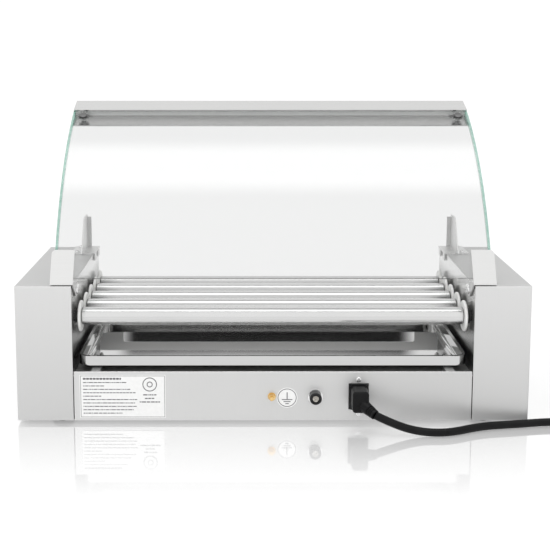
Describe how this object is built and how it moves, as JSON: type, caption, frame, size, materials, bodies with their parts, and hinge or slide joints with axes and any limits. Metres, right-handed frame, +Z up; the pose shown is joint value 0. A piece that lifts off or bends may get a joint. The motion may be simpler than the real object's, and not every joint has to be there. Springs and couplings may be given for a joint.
{
  "type": "hot dog roller grill",
  "caption": "Countertop roller grill with heated steel rollers between two boxy side housings, a drip tray below, a curved glass hood and a mains cord.",
  "frame": {"origin": "on the counter, under the middle of the grill's box without its cord", "axes": "+X right seen from the mains inlet side, +Y towards the operator's side, +Z up"},
  "size_m": [0.758, 0.2863, 0.3552],
  "materials": {
    "stainless_sheet": "brushed",
    "polished_steel": "polished",
    "tray_steel": "polished",
    "plated_steel": "polished",
    "zinc_steel": "satin",
    "dark_steel": "satin",
    "motor_aluminium": "cast",
    "collar_plastic": "smooth",
    "bush_plastic": "smooth",
    "clear_glass": "clear",
    "clamp_steel": "satin",
    "black_rubber": "matte",
    "black_plastic": "semi gloss",
    "knob_plastic": "semi gloss",
    "rocker_plastic": "gloss",
    "lamp_lens": "gloss",
    "brass": "worn",
    "sticker": "printed",
    "ceramic_block": "matt",
    "cord_jacket": "matte"
  },
  "bodies": {
    "chassis": {"base_pan": "stainless_sheet", "housing_cover_left": "stainless_sheet", "housing_cover_right": "stainless_sheet", "inner_wall_left": "stainless_sheet", "inner_wall_right": "stainless_sheet", "service_panel": "stainless_sheet", "tray_deck": "stainless_sheet", "operator_panel": "stainless_sheet", "roller_bushes": "bush_plastic", "heating_elements": "dark_steel", "element_brackets": "zinc_steel", "gear_motor": "motor_aluminium", "motor_bracket": "zinc_steel", "drive_chain": "dark_steel", "hood_pivot_screws": "plated_steel", "rest_brackets": "clamp_steel", "thermostats": "zinc_steel", "switch_frame": "black_plastic", "indicator_lamps": "lamp_lens", "inlet_socket": "black_plastic", "fuse_holder": "plated_steel", "earth_screw": "brass", "panel_labels": "sticker", "terminal_block": "ceramic_block", "rubber_feet": "black_rubber", "foot_screws": "zinc_steel", "pan_screws": "plated_steel", "cord_connector": "cord_jacket", "cord_strain_relief": "cord_jacket", "cord_tube": "cord_jacket", "cord_coil": "cord_jacket", "cord_tail": "cord_jacket", "cord_plug": "cord_jacket"},
    "roller_1": {"roller_1_tube": "polished_steel", "roller_1_collars": "collar_plastic", "roller_1_sprocket": "dark_steel"},
    "roller_2": {"roller_2_tube": "polished_steel", "roller_2_collars": "collar_plastic", "roller_2_sprocket": "dark_steel"},
    "roller_3": {"roller_3_tube": "polished_steel", "roller_3_collars": "collar_plastic", "roller_3_sprocket": "dark_steel"},
    "roller_4": {"roller_4_tube": "polished_steel", "roller_4_collars": "collar_plastic", "roller_4_sprocket": "dark_steel"},
    "roller_5": {"roller_5_tube": "polished_steel", "roller_5_collars": "collar_plastic", "roller_5_sprocket": "dark_steel"},
    "motor_output": {"motor_sprocket": "dark_steel"},
    "hood": {"hood_glass": "clear_glass", "hood_top_bar": "stainless_sheet", "hood_bar_screws": "plated_steel", "hood_clamp_left": "clamp_steel", "hood_clamp_right": "clamp_steel", "hood_pads": "black_rubber"},
    "tray": {"drip_tray": "tray_steel"},
    "knob_left": {"knob_left": "knob_plastic"},
    "knob_right": {"knob_right": "knob_plastic"},
    "rocker": {"power_rocker": "rocker_plastic"},
    "fuse_cap": {"fuse_cap": "black_plastic"}
  },
  "joints": [
    {"name": "roller_1_spin", "type": "hinge", "parent": "chassis", "child": "roller_1", "pos_m": [0, -0.083, 0.1174], "axis": [1, 0, 0], "continuous": true},
    {"name": "roller_2_spin", "type": "hinge", "parent": "chassis", "child": "roller_2", "pos_m": [0, -0.044, 0.1174], "axis": [1, 0, 0], "continuous": true},
    {"name": "roller_3_spin", "type": "hinge", "parent": "chassis", "child": "roller_3", "pos_m": [0, -0.005, 0.1174], "axis": [1, 0, 0], "continuous": true},
    {"name": "roller_4_spin", "type": "hinge", "parent": "chassis", "child": "roller_4", "pos_m": [0, 0.034, 0.1174], "axis": [1, 0, 0], "continuous": true},
    {"name": "roller_5_spin", "type": "hinge", "parent": "chassis", "child": "roller_5", "pos_m": [0, 0.073, 0.1174], "axis": [1, 0, 0], "continuous": true},
    {"name": "motor_spin", "type": "hinge", "parent": "chassis", "child": "motor_output", "pos_m": [0.236, -0.005, 0.06286], "axis": [1, 0, 0], "continuous": true},
    {"name": "hood_pivot", "type": "hinge", "parent": "chassis", "child": "hood", "pos_m": [0, -0.091, 0.151], "axis": [-1, 0, 0], "range_deg": [0, 40.8]},
    {"name": "tray_slide", "type": "slide", "parent": "chassis", "child": "tray", "axis": [0, -1, 0], "range_m": [0, 0.19]},
    {"name": "knob_left_turn", "type": "hinge", "parent": "chassis", "child": "knob_left", "pos_m": [-0.11, 0.105, 0.032], "axis": [0, -1, 0], "range_deg": [0, 270]},
    {"name": "knob_right_turn", "type": "hinge", "parent": "chassis", "child": "knob_right", "pos_m": [0.11, 0.105, 0.032], "axis": [0, -1, 0], "range_deg": [0, 270]},
    {"name": "rocker_tilt", "type": "hinge", "parent": "chassis", "child": "rocker", "pos_m": [0, 0.103, 0.032], "axis": [-1, 0, 0], "range_deg": [0, 16]},
    {"name": "fuse_cap_turn", "type": "hinge", "parent": "chassis", "child": "fuse_cap", "pos_m": [0.0481, -0.115, 0.032], "axis": [0, 1, 0], "range_deg": [-90, 0]}
  ],
  "couplings": [
    {"joint": "roller_2_spin", "follows": "roller_1_spin", "ratio": 1},
    {"joint": "roller_3_spin", "follows": "roller_1_spin", "ratio": 1},
    {"joint": "roller_4_spin", "follows": "roller_1_spin", "ratio": 1},
    {"joint": "roller_5_spin", "follows": "roller_1_spin", "ratio": 1},
    {"joint": "motor_spin", "follows": "roller_1_spin", "ratio": 1}
  ]
}
